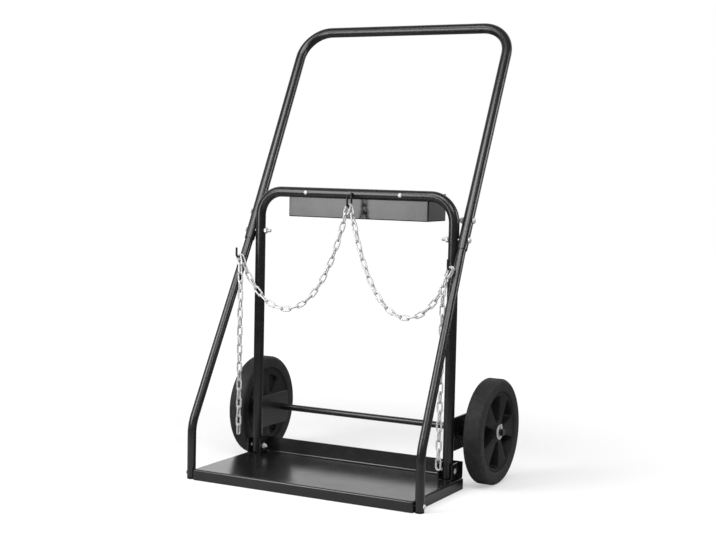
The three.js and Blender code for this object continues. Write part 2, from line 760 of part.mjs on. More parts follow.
// The free end: its first links lean inward and forward past the strut, and
// the rest hang straight down.
function tailNodes(side, count) {
  const step = (k) => {
    const inward = TAIL_INWARD[k] ?? 0;
    const forward = TAIL_FORWARD[k] ?? 0;
    return vec(-side * Math.tan(inward), -Math.tan(forward), -1).setLength(PITCH);
  };
  const nodes = [hookSeat(side, 0).addScaledVector(step(0), -END_BACK / PITCH)];
  for (let k = 0; k < count; k += 1) nodes.push(nodes[k].clone().add(step(k)));
  return nodes;
}

const tailGeometry = (side, count) => chainGeometry(tailNodes(side, count), Y_AXIS);

// Assembly

piece('base_tray', trayGeometry(), coat);
piece('rear_frame', rearFrameGeometry(), coat);
piece('handle', handleGeometry(), coat);
piece('tool_box', toolBoxGeometry(), coat);
piece('axle', axleGeometry(), coat);
piece('centre_hook', centreHookGeometry(), coat);

SIDES.forEach(([name, side]) => {
  piece(`${name}_strut`, strutGeometry(side), coat);
  piece(`${name}_foot_plug`, plugGeometry(side), plastic);
  piece(`${name}_leg_bracket`, bracketGeometry(side), coat);
  piece(`${name}_axle_plate`, axlePlateGeometry(side), coat);
  piece(`${name}_chain_hook`, sideHookGeometry(side), coat);
  piece(`${name}_tyre`, tyreGeometry(side), rubber);
  piece(`${name}_rim`, rimGeometry(side), plastic);
  piece(`${name}_inner_washer`, washerGeometry(side, LEG_X + PLATE_T / 2 + GAP), zinc);
  piece(`${name}_outer_washer`, washerGeometry(side, HUB_OUTER_X + GAP), zinc);
  piece(`${name}_cotter_pin`, cotterGeometry(side), zinc);

  const inward = vec(-side, 0, 0);
  const upper = onRake(side, JOINT_BOLT_PITCH).add(vec(side * TUBE_R, 0, 0));
  const lower = onRake(side, 0).add(vec(side * TUBE_R, 0, 0));
  const legOuter = vec(side * (LEG_X + TUBE_R + GAP + BRACKET_SHEET), 0, TRAY_Z + LEG_BOLT_H);
  const strutOuter = vec(side * (STRUT_FOOT_X + STRUT_R), STRUT_FOOT_Y, FOOT_BOLT_Z);
  fasten(`${name}_upper_joint`, BOLT_R, upper, inward, 2 * TUBE_R);
  const jointGrip = HANDLE_X - LEG_X + 2 * TUBE_R;
  fasten(`${name}_lower_joint`, BOLT_R, lower, inward, jointGrip, JOINT_THREAD_OUT);
  fasten(`${name}_leg_foot`, BOLT_R, legOuter, inward, 2 * (TUBE_R + GAP + BRACKET_SHEET));
  fasten(`${name}_strut_foot`, SMALL_BOLT_R, strutOuter, inward, 2 * STRUT_R + GAP + SHEET);
  const boxFront = vec(side * BOX_BOLT_X, -TUBE_R, CROSSBAR_Z);
  fasten(`${name}_box`, SMALL_BOLT_R, boxFront, Y_AXIS, 2 * TUBE_R + GAP + BOX_SHEET);

  piece(`${name}_chain_swag`, swagGeometry(side), zinc);
  piece(`${name}_chain_tail`, tailGeometry(side, TAIL_LINKS[name]), zinc);
});

// The origin lies on the floor under the middle of the cart.
const bounds = new THREE.Box3().setFromObject(cart);
cart.position.y = -(bounds.min.y + bounds.max.y) / 2;
cart.updateMatrixWorld(true);

export default cart;
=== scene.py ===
"""Looks of a two-cylinder welding cart.

Black powder-coated tube and sheet, zinc-plated chain and fasteners, and solid rubber
tyres on moulded rims. Metres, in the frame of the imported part: X across the cart,
Y to its back, Z up.
"""

import json
import math

import bmesh
import bpy
from mathutils import Matrix, Vector


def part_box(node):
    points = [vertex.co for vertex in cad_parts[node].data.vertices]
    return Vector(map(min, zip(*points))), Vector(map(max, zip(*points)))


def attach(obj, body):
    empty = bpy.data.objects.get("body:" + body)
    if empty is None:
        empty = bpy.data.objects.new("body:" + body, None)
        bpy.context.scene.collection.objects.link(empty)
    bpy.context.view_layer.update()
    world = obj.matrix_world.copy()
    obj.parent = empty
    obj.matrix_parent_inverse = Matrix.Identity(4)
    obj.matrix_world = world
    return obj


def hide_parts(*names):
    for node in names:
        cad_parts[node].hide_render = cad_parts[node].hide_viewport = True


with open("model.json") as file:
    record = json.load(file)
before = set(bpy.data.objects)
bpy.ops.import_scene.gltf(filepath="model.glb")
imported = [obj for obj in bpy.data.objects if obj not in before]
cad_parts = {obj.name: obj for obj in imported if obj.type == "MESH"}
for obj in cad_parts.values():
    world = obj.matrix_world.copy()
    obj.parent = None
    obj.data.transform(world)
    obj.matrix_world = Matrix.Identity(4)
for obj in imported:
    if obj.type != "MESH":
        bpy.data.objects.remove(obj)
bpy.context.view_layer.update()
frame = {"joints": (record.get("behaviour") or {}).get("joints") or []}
JOINTS = {joint["name"]: joint for joint in frame["joints"]}
SIDES = {"left": -1, "right": 1}

# The photograph's camera.
LENS = 69.46
SENSOR = 36.0
CAMERA_AT = Vector((1.57008, -2.94045, 0.76028))
CAMERA_AZIMUTH = math.radians(28.00)
CAMERA_ELEVATION = math.radians(4.416)
CAMERA_ROLL = math.radians(1.221)

# Studio light: softboxes as place, width, height and power, all aimed at the cart's middle.
AIM = Vector((0, 0, 0.5))
LAMPS = {
    "key": ((-0.65, -1.22, 0.93), 0.65, 0.95, 14),
    "overhead": ((-0.05, -1.7, 2.75), 1.9, 0.9, 50),
    "left_high": ((-1.65, -1.6, 2.0), 1.0, 0.8, 12),
    "right_high": ((1.35, -1.4, 1.9), 0.7, 0.7, 15),
    "side": ((2.0, 0.85, 1.25), 0.5, 1.0, 14),
}

# The world: its even fill, and what reflections show of it behind the cart and elsewhere.
FILL = 0.35
MIRRORED_WHITE = 1.35
MIRRORED_DIM = 0.22
BACKDROP = Vector((-0.43, 0.90, 0.10))
BACKDROP_FADE = (0.45, 0.95)
WHITE = (1, 1, 1, 1)

# The floor's colour, darkened further off as painted shade that reflections and bounce light see, and its
# glow for the camera, each at the near and far end of the fade.
FLOOR_PAINTED_SHADE_TONE = (0.5, 0.12)
FLOOR_GLOW = (0.44, 0.97)
FLOOR_FADE = (0.6, 1.4)
FLOOR_REACH = 9.0
FLOOR_ROUGHNESS = 0.9
FLOOR_SPECULAR = 0.1

# Where a noise reaches the darker and the lighter tone of a finish.
TONE_SPAN = (0.3, 0.7)

# Sheet, tube and rod.
CLEARANCE = 0.0003
TUBE_WALL = 0.0019
FRAME_BEND = 0.060
HANDLE_BEND = 0.075
SLEEVE_BELOW = 0.0245
STRUT_INSIDE = 0.080
STRUT_KINK = 0.0305
STRUT_KINK_BEND = 0.25
STRUT_BEND = 0.100
TRAY_SHEET = 0.0025
TRAY_BEND = 0.005
TRAY_CORNER = 0.006
BOX_SHEET = 0.0016
BOX_BEND = 0.0025
BOX_CORNER = 0.0028
BOX_LUG_H = 0.006
BRACKET_SHEET = 0.003
BRACKET_BEND = 0.0045
PLATE_CORNER = 0.014
PLATE_EDGE = 0.001
EDGE_ROUND = 0.0005
PLUG_EDGE = 0.0012
PLUG_RIM_EDGE = 0.0005
SPIGOT_EDGE = 0.0008
HOOK_R = 0.0026
HOOK_BEND = 0.008
HOOK_ROOT = 0.0252
HOOK_TIP = 0.0113
HOOK_TIP_H = 0.024
EYE_BEND = 0.006
EYE_TIP_H = 0.026
ROD_END_ROUND = 0.0007

# Wheels.
TYRE_SHOULDER = 0.009
TYRE_H = 0.031
BEAD_INSET = 0.005
BEAD_H = 0.006
BEAD_MIDDLE_INSET = 0.00125
BEAD_EDGE_INSET = 0.0005
BLOCK_H = 0.0005
BLOCK_ROOT = 0.001
BLOCKS_ROUND = 60
BLOCK_ROWS = 7
BLOCK_ROW_STEP = 0.0045
BLOCK_GROOVE = 0.0018
BLOCK_TAPER = 0.82
RIM_HALF_W = 0.018
RIM_WALL = 0.006
RIM_EDGE = 0.0014
HUB_R = 0.022
HUB_NOSE_R = 0.019
HUB_EASE = 0.0006
HUB_INNER_ROUND = 0.0015
SPOKES = 5
FIRST_WINDOW = math.pi
SPOKE_HUB_W = 0.017
SPOKE_RIM_W = 0.050
WINDOW_ROUND = 0.005
WINDOW_FROM_HUB = 0.003
WINDOW_FROM_RIM = 0.001
WINDOW_DRAFT = 0.3
BORE_R = 0.0084
WASHER_BORE_EASE = 0.0003
WASHER_EASE = 0.0005
COTTER_WIRE = 0.0009
COTTER_HALF_GAP = 1.05 * COTTER_WIRE
COTTER_SPREAD = 3 * COTTER_HALF_GAP
COTTER_EYE_R = 0.0042
AXLE_CHAMFER = 0.0015

# Fasteners: radius of the shank, and the rest as shares of it.
BOLT_R = 0.004
SMALL_BOLT_R = 0.003
FASTENERS = {
    "upper_joint": BOLT_R,
    "lower_joint": BOLT_R,
    "leg_foot": BOLT_R,
    "strut_foot": SMALL_BOLT_R,
    "box": SMALL_BOLT_R,
}
HEAD_R = 1.75
HEAD_H = 1.24
NUT_R = 1.85
NUT_H = 1.6
NUT_EASE = 0.18
THREAD_PITCH = 0.31
THREAD_ROOT_R = 0.87
BOLT_TIP_R = 0.82

# Shares of the head's height below its dome, of the length that is threaded, and of one thread.
HEAD_RIM = 0.25
THREADED = 0.55
THREAD_CREST = 0.2
THREAD_ROOT = 0.6
FEWEST_THREADS = 4

# Chains. The weld's place and reach are shares of the way round a link.
PITCH = 0.0222
WIRE_R = 0.0021
LINK_L = PITCH + 2 * WIRE_R
LINK_W = 0.011
WELD_AT = 0.39
WELD_SWELL = 1.16
WELD_REACH = (0.015, 0.05)
END_BACK = 0.0034
EYE_SPLAY = math.radians(22)
SWAG_LINKS = 23
TAIL_LINKS = {"left": 20, "right": 21}
TAIL_INWARD = [math.radians(a) for a in (22, 10, 3)]
TAIL_FORWARD = [math.radians(a) for a in (13, 14)]
CATENARY_RANGE = 20
CATENARY_HALVINGS = 80

# Facets, and the angles in degrees past which an edge stays sharp.
TUBE_SIDES = 40
ROD_SIDES = 20
BOLT_SIDES = 24
NUT_SIDES = 6
LINK_SIDES = 12
LINK_STATIONS = 36
LINK_END_STEPS = 12
BEND_STEPS = 14
CORNER_STEPS = 6
EASE_STEPS = 4
EDGE_STEPS = 2
PLATE_STEPS = 10
DOME_STEPS = 8
SHOULDER_STEPS = 8
COTTER_EYE_STEPS = 14
WINDOW_ARC_STEPS = 6
RING_STEPS = 64
WHEEL_STEPS = 144
TUBE_SHARP = 35
TURNED_SHARP = 40
BOLT_SHARP = 45
NUT_SHARP = 20
LINK_SHARP = 60
EDGE_SHARP = 50
MERGE = 1e-6

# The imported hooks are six-sided rods, so their boxes end on a flat and not on a full radius.
PACKED_ROD_FLAT = math.cos(math.pi / 6)

X_AXIS = Vector((1, 0, 0))
Y_AXIS = Vector((0, 1, 0))
Z_AXIS = Vector((0, 0, 1))


# Camera, light and stage

def add_camera():
    azimuth, elevation, roll = CAMERA_AZIMUTH, CAMERA_ELEVATION, CAMERA_ROLL
    level = math.cos(elevation)
    back = Vector((math.sin(azimuth) * level, -math.cos(azimuth) * level, math.sin(elevation)))
    right = Vector((math.cos(azimuth), math.sin(azimuth), 0))
    up = back.cross(right)
    side = right * math.cos(roll) + up * math.sin(roll)
    top = up * math.cos(roll) - right * math.sin(roll)
    data = bpy.data.cameras.new("camera")
    data.lens = LENS
    data.sensor_width = SENSOR
    data.sensor_fit = "HORIZONTAL"
    camera = bpy.data.objects.new("camera", data)
    bpy.context.scene.collection.objects.link(camera)
    turn = Matrix((side, top, back)).transposed().to_4x4()
    camera.matrix_world = Matrix.Translation(CAMERA_AT) @ turn
    bpy.context.scene.camera = camera


def add_softbox(name, at, width, height, power):
    data = bpy.data.lights.new(name, "AREA")
    data.shape = "RECTANGLE"
    data.size = width
    data.size_y = height
    data.energy = power
    lamp = bpy.data.objects.new(name, data)
    lamp.location = at
    lamp.rotation_euler = (AIM - Vector(at)).to_track_quat("-Z", "Y").to_euler()
    lamp.visible_camera = False
    bpy.context.scene.collection.objects.link(lamp)


def link_nodes(tree, *pairs):
    for start, end in pairs:
        tree.links.new(start, end)


def math_node(tree, operation, *values):
    node = tree.nodes.new("ShaderNodeMath")
    node.operation = operation
    for socket, value in zip(node.inputs, values):
        if isinstance(value, bpy.types.NodeSocket):
            tree.links.new(value, socket)
        else:
            socket.default_value = value
    return node.outputs[0]


def map_range(tree, value, low, high, start=0.0, end=1.0):
    node = tree.nodes.new("ShaderNodeMapRange")
    tree.links.new(value, node.inputs["Value"])
    for label, number in (("From Min", start), ("From Max", end), ("To Min", low), ("To Max", high)):
        node.inputs[label].default_value = number
    return node.outputs["Result"]


def principled(material):
    return material.node_tree.nodes["Principled BSDF"]


# White for the camera; in reflections white behind the cart and dim elsewhere.
def set_world():
    world = bpy.data.worlds.new("studio")
    bpy.context.scene.world = world
    world.use_nodes = True
    tree = world.node_tree
    background = tree.nodes["Background"]
    background.inputs["Color"].default_value = WHITE
    path = tree.nodes.new("ShaderNodeLightPath")
    direction = tree.nodes.new("ShaderNodeTexCoord")
    behind = tree.nodes.new("ShaderNodeVectorMath")
    behind.operation = "DOT_PRODUCT"
    behind.inputs[1].default_value = BACKDROP.normalized()
    tree.links.new(direction.outputs["Generated"], behind.inputs[0])
    mirrored = map_range(tree, behind.outputs["Value"], MIRRORED_DIM, MIRRORED_WHITE, *BACKDROP_FADE)
    seen = math_node(tree, "MAXIMUM", path.outputs["Is Glossy Ray"], path.outputs["Is Transmission Ray"])
    light = math_node(tree, "MULTIPLY_ADD", seen, math_node(tree, "SUBTRACT", mirrored, FILL), FILL)
    white = math_node(tree, "SUBTRACT", 1.0, light)
    strength = math_node(tree, "MULTIPLY_ADD", path.outputs["Is Camera Ray"], white, light)
    tree.links.new(strength, background.inputs["Strength"])


# Pale round the cart, where it takes the shadow; further off its colour darkens as painted shade, and it
# is white for the camera alone.
def add_floor():
    mesh = bpy.data.meshes.new("floor")
    reach = FLOOR_REACH
    corners = [(-reach, -reach), (reach, -reach), (reach, reach), (-reach, reach)]
    mesh.from_pydata([(x, y, -CLEARANCE) for x, y in corners], [], [(0, 1, 2, 3)])
    floor = bpy.data.objects.new("floor", mesh)
    bpy.context.scene.collection.objects.link(floor)
    material = bpy.data.materials.new("white_floor")
    material.use_nodes = True
    tree = material.node_tree
    shader = principled(material)
    shader.inputs["Roughness"].default_value = FLOOR_ROUGHNESS
    shader.inputs["Specular IOR Level"].default_value = FLOOR_SPECULAR
    shader.inputs["Emission Color"].default_value = WHITE
    path = tree.nodes.new("ShaderNodeLightPath")
    where = tree.nodes.new("ShaderNodeTexCoord")
    away = tree.nodes.new("ShaderNodeVectorMath")
    away.operation = "LENGTH"
    tree.links.new(where.outputs["Object"], away.inputs[0])
    distance = away.outputs["Value"]
    # Painted shade: the floor's colour darkens with distance, so glossy parts mirror a dim floor.
    tone = map_range(tree, distance, *FLOOR_PAINTED_SHADE_TONE, *FLOOR_FADE)
    white = map_range(tree, distance, *FLOOR_GLOW, *FLOOR_FADE)
    glow = math_node(tree, "MULTIPLY", path.outputs["Is Camera Ray"], white)
    link_nodes(
        tree,
        (tone, shader.inputs["Base Color"]),
        (glow, shader.inputs["Emission Strength"]),
    )
    mesh.materials.append(material)


def set_light():
    for name, lamp in LAMPS.items():
        add_softbox(name, *lamp)


# Finishes

# A noise is given by its scale and its detail.
def noise(tree, scale, detail):
    where = tree.nodes.new("ShaderNodeTexCoord")
    node = tree.nodes.new("ShaderNodeTexNoise")
    node.inputs["Scale"].default_value = scale
    node.inputs["Detail"].default_value = detail
    tree.links.new(where.outputs["Object"], node.inputs["Vector"])
    return node.outputs["Fac"]


def tint(tree, value, *tones):
    ramp = tree.nodes.new("ShaderNodeValToRGB")
    for element, position, tone in zip(ramp.color_ramp.elements, TONE_SPAN, tones):
        element.position = position
        element.color = (*tone, 1)
    tree.links.new(value, ramp.inputs["Fac"])
    return ramp.outputs["Color"]


# A finish whose colour and gloss each vary with a noise of their own.
def mottled(name, tones, tone_noise, roughness, roughness_noise):
    material = bpy.data.materials.new(name)
    material.use_nodes = True
    tree = material.node_tree
    shader = principled(material)
    link_nodes(
        tree,
        (tint(tree, noise(tree, *tone_noise), *tones), shader.inputs["Base Color"]),
        (map_range(tree, noise(tree, *roughness_noise), *roughness), shader.inputs["Roughness"]),
    )
    return material


def add_relief(material, relief_noise, strength, depth):
    tree = material.node_tree
    bump = tree.nodes.new("ShaderNodeBump")
    bump.inputs["Strength"].default_value = strength
    bump.inputs["Distance"].default_value = depth
    link_nodes(
        tree,
        (noise(tree, *relief_noise), bump.inputs["Height"]),
        (bump.outputs["Normal"], principled(material).inputs["Normal"]),
    )


# Black powder coat, a satin film.
def powder_coat(name, roughness):
    material = mottled(
        name,
        tones=((0.006, 0.006, 0.0064), (0.011, 0.011, 0.0114)),
        tone_noise=(45, 2),
        roughness=roughness,
        roughness_noise=(25, 2),
    )
    principled(material).inputs["IOR"].default_value = 1.5
    return material


def tube_coat():
    return powder_coat("tube_coat", roughness=(0.24, 0.29))


# Folded sheet is a little wavy under its coat.
def sheet_coat():
    material = powder_coat("sheet_coat", roughness=(0.17, 0.25))
    add_relief(material, relief_noise=(14, 2), strength=0.10, depth=0.004)
    return material


# Bright zinc plate, slightly clouded.
def zinc_plate():
    material = mottled(
        "zinc_plate",
        tones=((0.48, 0.49, 0.50), (0.62, 0.62, 0.62)),
        tone_noise=(140, 3),
        roughness=(0.36, 0.54),
        roughness_noise=(420, 3),
    )
    add_relief(material, relief_noise=(900, 2), strength=0.15, depth=0.0002)
    principled(material).inputs["Metallic"].default_value = 0.25
    return material


def tyre_rubber():
    material = mottled(
        "tyre_rubber",
        tones=((0.007, 0.007, 0.007), (0.017, 0.017, 0.017)),
        tone_noise=(60, 4),
        roughness=(0.58, 0.78),
        roughness_noise=(200, 3),
    )
    add_relief(material, relief_noise=(1100, 2), strength=0.25, depth=0.0003)
    principled(material).inputs["Specular IOR Level"].default_value = 0.4
    return material


def moulded_plastic():
    material = mottled(
        "moulded_plastic",
        tones=((0.004, 0.004, 0.004), (0.008, 0.008, 0.0083)),
        tone_noise=(50, 2),
        roughness=(0.44, 0.60),
        roughness_noise=(300, 3),
    )
    add_relief(material, relief_noise=(1600, 2), strength=0.20, depth=0.0002)
    principled(material).inputs["Specular IOR Level"].default_value = 0.2
    return material


# Each finish with the record's slot that it belongs to.
FINISHES = {
    "tube": (tube_coat(), "coat"),
    "sheet": (sheet_coat(), "coat"),
    "zinc": (zinc_plate(), "zinc"),
    "rubber": (tyre_rubber(), "tyre"),
    "plastic": (moulded_plastic(), "plastic"),
}


# Meshes

def mesh_of(verts, faces, edges=()):
    mesh = bpy.data.meshes.new("shape")
    mesh.from_pydata([tuple(v) for v in verts], list(edges), faces)
    return mesh


def temporary(mesh):
    thing = bpy.data.objects.new("shape", mesh)
    bpy.context.scene.collection.objects.link(thing)
    return thing


# The evaluated mesh of a temporary object, which then goes.
def settled(thing):
    graph = bpy.context.evaluated_depsgraph_get()
    mesh = bpy.data.meshes.new_from_object(thing.evaluated_get(graph), depsgraph=graph)
    bpy.data.objects.remove(thing)
    return mesh


def joined(meshes):
    bm = bmesh.new()
    for mesh in meshes:
        bm.from_mesh(mesh)
    whole = bpy.data.meshes.new("shape")
    bm.to_mesh(whole)
    bm.free()
    return whole


# Doubles merged and faces turned outward, for a closed shape.
def tidied(mesh):
    bm = bmesh.new()
    bm.from_mesh(mesh)
    bmesh.ops.remove_doubles(bm, verts=bm.verts, dist=MERGE)
    bmesh.ops.recalc_face_normals(bm, faces=bm.faces)
    bm.to_mesh(mesh)
    bm.free()
    return mesh


def smooth(mesh, sharp=TUBE_SHARP):
    mesh.shade_smooth()
    mesh.set_sharp_from_angle(angle=math.radians(sharp))
    return mesh


def add_wall(thing, wall):
    solidify = thing.modifiers.new("wall", "SOLIDIFY")
    solidify.thickness = wall
    solidify.offset = -1
    return solidify


# Sheet from an open surface: a wall inward, rounded edges, and normals that keep flats flat.
def finished(mesh, wall, edge):
    mesh.shade_smooth()
    thing = temporary(mesh)
    add_wall(thing, wall).use_even_offset = True
    bevel = thing.modifiers.new("edges", "BEVEL")
    bevel.width = edge
    bevel.segments = EDGE_STEPS
    bevel.limit_method = "ANGLE"
    bevel.angle_limit = math.radians(EDGE_SHARP)
    level = thing.modifiers.new("flats", "WEIGHTED_NORMAL")
    level.keep_sharp = True
    return settled(thing)


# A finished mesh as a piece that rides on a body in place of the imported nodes.
def add_piece(name, mesh, body, finish, *nodes):
    material, slot = FINISHES[finish]
    mesh.materials.clear()
    mesh.materials.append(material)
    mesh.name = name
    thing = bpy.data.objects.new(name, mesh)
    bpy.context.scene.collection.objects.link(thing)
    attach(thing, body)
    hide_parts(*nodes)


# The angles of a quarter turn.
def quarter(steps=CORNER_STEPS):
    return [math.pi / 2 * k / steps for k in range(steps + 1)]


# A polyline whose corners are turned into round bends.
def bent(corners, radii, steps=CORNER_STEPS):
    points = []
    for i, (corner, radius) in enumerate(zip(corners, radii)):
        if radius == 0:
            points.append(corner)
            continue
        back = (corners[i - 1] - corner).normalized()
        on = (corners[(i + 1) % len(corners)] - corner).normalized()
        turn = math.pi - back.angle(on)
        centre = corner + (back + on).normalized() * (radius / math.cos(turn / 2))
        start = corner + back * (radius * math.tan(turn / 2)) - centre
        axis = on.cross(back).normalized()
        for k in range(steps + 1):
            points.append(centre + Matrix.Rotation(turn * k / steps, 3, axis) @ start)
    return points


# A profile of (radius, height) turned round +Z; a closed profile makes a ring.
def turned(profile, steps, ring=False):
    verts, rows = [], []
    for radius, height in profile:
        if radius < MERGE:
            rows.append([len(verts)] * steps)
            verts.append((0, 0, height))
            continue
        rows.append(list(range(len(verts), len(verts) + steps)))
        for k in range(steps):
            angle = 2 * math.pi * k / steps
            verts.append((radius * math.cos(angle), radius * math.sin(angle), height))
    faces = []
    pairs = list(zip(rows, rows[1:]))
    if ring:
        pairs.append((rows[-1], rows[0]))
    for low, high in pairs:
        for k in range(steps):
            n = (k + 1) % steps
            corners = [low[k], low[n], high[n], high[k]]
            face = [c for j, c in enumerate(corners) if c != corners[j - 1]]
            faces.append(face)
    return tidied(mesh_of(verts, faces))


def rounded_profile(corners, radii):
    points = bent([Vector((r, h, 0)) for r, h in corners], radii, EASE_STEPS)
    return [(p.x, p.y) for p in points]


# A turned shape laid from the Z axis onto the X axis.
def along_x(mesh):
    mesh.transform(Matrix(((0, 0, 1, 0), (1, 0, 0, 0), (0, 1, 0, 0), (0, 0, 0, 1))))
    return mesh


def moved(mesh, offset):
    mesh.transform(Matrix.Translation(offset))
    return mesh


# Geometry Nodes

def new_tree(name, inputs):
    tree = bpy.data.node_groups.new(name, "GeometryNodeTree")
    tree.interface.new_socket("Geometry", in_out="INPUT", socket_type="NodeSocketGeometry")
    for label, kind in inputs:
        tree.interface.new_socket(label, in_out="INPUT", socket_type=kind)
    tree.interface.new_socket("Geometry", in_out="OUTPUT", socket_type="NodeSocketGeometry")
    return tree, tree.nodes.new("NodeGroupInput"), tree.nodes.new("NodeGroupOutput")


# Realize Instances and Set Material close every tree.
def close_tree(tree, geometry, finish, output):
    realize = tree.nodes.new("GeometryNodeRealizeInstances")
    paint = tree.nodes.new("GeometryNodeSetMaterial")
    link_nodes(
        tree,
        (geometry, realize.inputs["Geometry"]),
        (realize.outputs["Geometry"], paint.inputs["Geometry"]),
        (finish, paint.inputs["Material"]),
        (paint.outputs["Geometry"], output.inputs["Geometry"]),
    )


def named(tree, name, kind):
    node = tree.nodes.new("GeometryNodeInputNamedAttribute")
    node.data_type = kind
    node.inputs["Name"].default_value = name
    return node.outputs["Attribute"]


# A tube or rod along a polyline, with its own bend at each corner.
def bent_tube_tree():
    tree, given, output = new_tree("bent_tube", [
        ("Radius", "NodeSocketFloat"),
        ("Sides", "NodeSocketInt"),
        ("Bend Steps", "NodeSocketInt"),
        ("Capped", "NodeSocketBool"),
        ("Finish", "NodeSocketMaterial"),
    ])
    line = tree.nodes.new("GeometryNodeMeshToCurve")
    fillet = tree.nodes.new("GeometryNodeFilletCurve")
    fillet.mode = "POLY"
    circle = tree.nodes.new("GeometryNodeCurvePrimitiveCircle")
    skin = tree.nodes.new("GeometryNodeCurveToMesh")
    link_nodes(
        tree,
        (given.outputs["Geometry"], line.inputs["Mesh"]),
        (line.outputs["Curve"], fillet.inputs["Curve"]),
        (given.outputs["Bend Steps"], fillet.inputs["Count"]),
        (named(tree, "bend", "FLOAT"), fillet.inputs["Radius"]),
        (given.outputs["Sides"], circle.inputs["Resolution"]),
        (given.outputs["Radius"], circle.inputs["Radius"]),
        (fillet.outputs["Curve"], skin.inputs["Curve"]),
        (circle.outputs["Curve"], skin.inputs["Profile Curve"]),
        (named(tree, "swell", "FLOAT"), skin.inputs["Scale"]),
        (given.outputs["Capped"], skin.inputs["Fill Caps"]),
    )
    close_tree(tree, skin.outputs["Mesh"], given.outputs["Finish"], output)
    return tree


# One chain link: a round-ended ring of wire with a slight swelling at its weld.
def chain_link_tree():
    tree, given, output = new_tree("chain_link", [
        ("Length", "NodeSocketFloat"),
        ("Width", "NodeSocketFloat"),
        ("Wire Radius", "NodeSocketFloat"),
        ("End Radius", "NodeSocketFloat"),
        ("Stations", "NodeSocketInt"),
        ("Sides", "NodeSocketInt"),
        ("Finish", "NodeSocketMaterial"),
    ])
    outline = tree.nodes.new("GeometryNodeCurvePrimitiveQuadrilateral")
    fillet = tree.nodes.new("GeometryNodeFilletCurve")
    fillet.mode = "POLY"
    fillet.inputs["Count"].default_value = LINK_END_STEPS
    fillet.inputs["Limit Radius"].default_value = True
    spaced = tree.nodes.new("GeometryNodeResampleCurve")
    circle = tree.nodes.new("GeometryNodeCurvePrimitiveCircle")
    skin = tree.nodes.new("GeometryNodeCurveToMesh")
    place = tree.nodes.new("GeometryNodeSplineParameter")
    from_weld = math_node(tree, "ABSOLUTE", math_node(tree, "SUBTRACT", place.outputs["Factor"], WELD_AT))
    swell = map_range(tree, from_weld, WELD_SWELL, 1.0, *WELD_REACH)
    link_nodes(
        tree,
        (given.outputs["Width"], outline.inputs["Width"]),
        (given.outputs["Length"], outline.inputs["Height"]),
        (outline.outputs["Curve"], fillet.inputs["Curve"]),
        (given.outputs["End Radius"], fillet.inputs["Radius"]),
        (fillet.outputs["Curve"], spaced.inputs["Curve"]),
        (given.outputs["Stations"], spaced.inputs["Count"]),
        (given.outputs["Sides"], circle.inputs["Resolution"]),
        (given.outputs["Wire Radius"], circle.inputs["Radius"]),
        (spaced.outputs["Curve"], skin.inputs["Curve"]),
        (circle.outputs["Curve"], skin.inputs["Profile Curve"]),
        (swell, skin.inputs["Scale"]),
    )
    close_tree(tree, skin.outputs["Mesh"], given.outputs["Finish"], output)
    return tree


# A shape set on each point, its Z axis on the attribute along and its X axis on flat.
def set_on_points_tree():
    tree, given, output = new_tree("set_on_points", [
        ("Shape", "NodeSocketObject"),
        ("Finish", "NodeSocketMaterial"),
    ])
    shape = tree.nodes.new("GeometryNodeObjectInfo")
    stand = tree.nodes.new("FunctionNodeAlignRotationToVector")
    stand.axis = "Z"
    face = tree.nodes.new("FunctionNodeAlignRotationToVector")
    face.axis = "X"
    face.pivot_axis = "Z"
    instance = tree.nodes.new("GeometryNodeInstanceOnPoints")
    link_nodes(
        tree,
        (given.outputs["Shape"], shape.inputs["Object"]),
        (named(tree, "along", "FLOAT_VECTOR"), stand.inputs["Vector"]),
        (stand.outputs["Rotation"], face.inputs["Rotation"]),
        (named(tree, "flat", "FLOAT_VECTOR"), face.inputs["Vector"]),
        (given.outputs["Geometry"], instance.inputs["Points"]),
        (shape.outputs["Geometry"], instance.inputs["Instance"]),
        (face.outputs["Rotation"], instance.inputs["Rotation"]),
    )
    close_tree(tree, instance.outputs["Instances"], given.outputs["Finish"], output)
    return tree


BENT_TUBE = bent_tube_tree()
CHAIN_LINK = chain_link_tree()
SET_ON_POINTS = set_on_points_tree()


# The mesh that a tree makes of its points, with its inputs set by their identifiers.
def grown(mesh, tree, settings, wall=0.0):
    thing = temporary(mesh)
    modifier = thing.modifiers.new("grow", "NODES")
    modifier.node_group = tree
    for item in tree.interface.items_tree:
        if item.in_out == "INPUT" and item.name in settings:
            modifier[item.identifier] = settings[item.name]
    if wall:
        add_wall(thing, wall)
    return settled(thing)


# Open where it has a wall, and solid where it has none.
def tube(corners, bends, radius, finish, wall=0.0, swells=None, sides=TUBE_SIDES):
    line = mesh_of(corners, [], [(k, k + 1) for k in range(len(corners) - 1)])
    swells = swells or [1.0] * len(corners)
    for name, values in (("bend", bends), ("swell", swells)):
        attribute = line.attributes.new(name, "FLOAT", "POINT")
        attribute.data.foreach_set("value", values)
    settings = {
        "Radius": radius,
        "Sides": sides,
        "Bend Steps": BEND_STEPS,
        "Capped": not wall,
        "Finish": FINISHES[finish][0],
    }
    return smooth(grown(line, BENT_TUBE, settings, wall))


# A solid rod with slightly rounded ends.
def rod(corners, bends, radius, finish):
    first = corners[0] + (corners[1] - corners[0]).normalized() * ROD_END_ROUND
    last = corners[-1] + (corners[-2] - corners[-1]).normalized() * ROD_END_ROUND
    points = [corners[0], first, *corners[1:-1], last, corners[-1]]
    radii = [0.0, 0.0, *bends[1:-1], 0.0, 0.0]
    end = 1 - ROD_END_ROUND / radius
    swells = [end] + [1.0] * (len(points) - 2) + [end]
    return tube(points, radii, radius, finish, swells=swells, sides=ROD_SIDES)


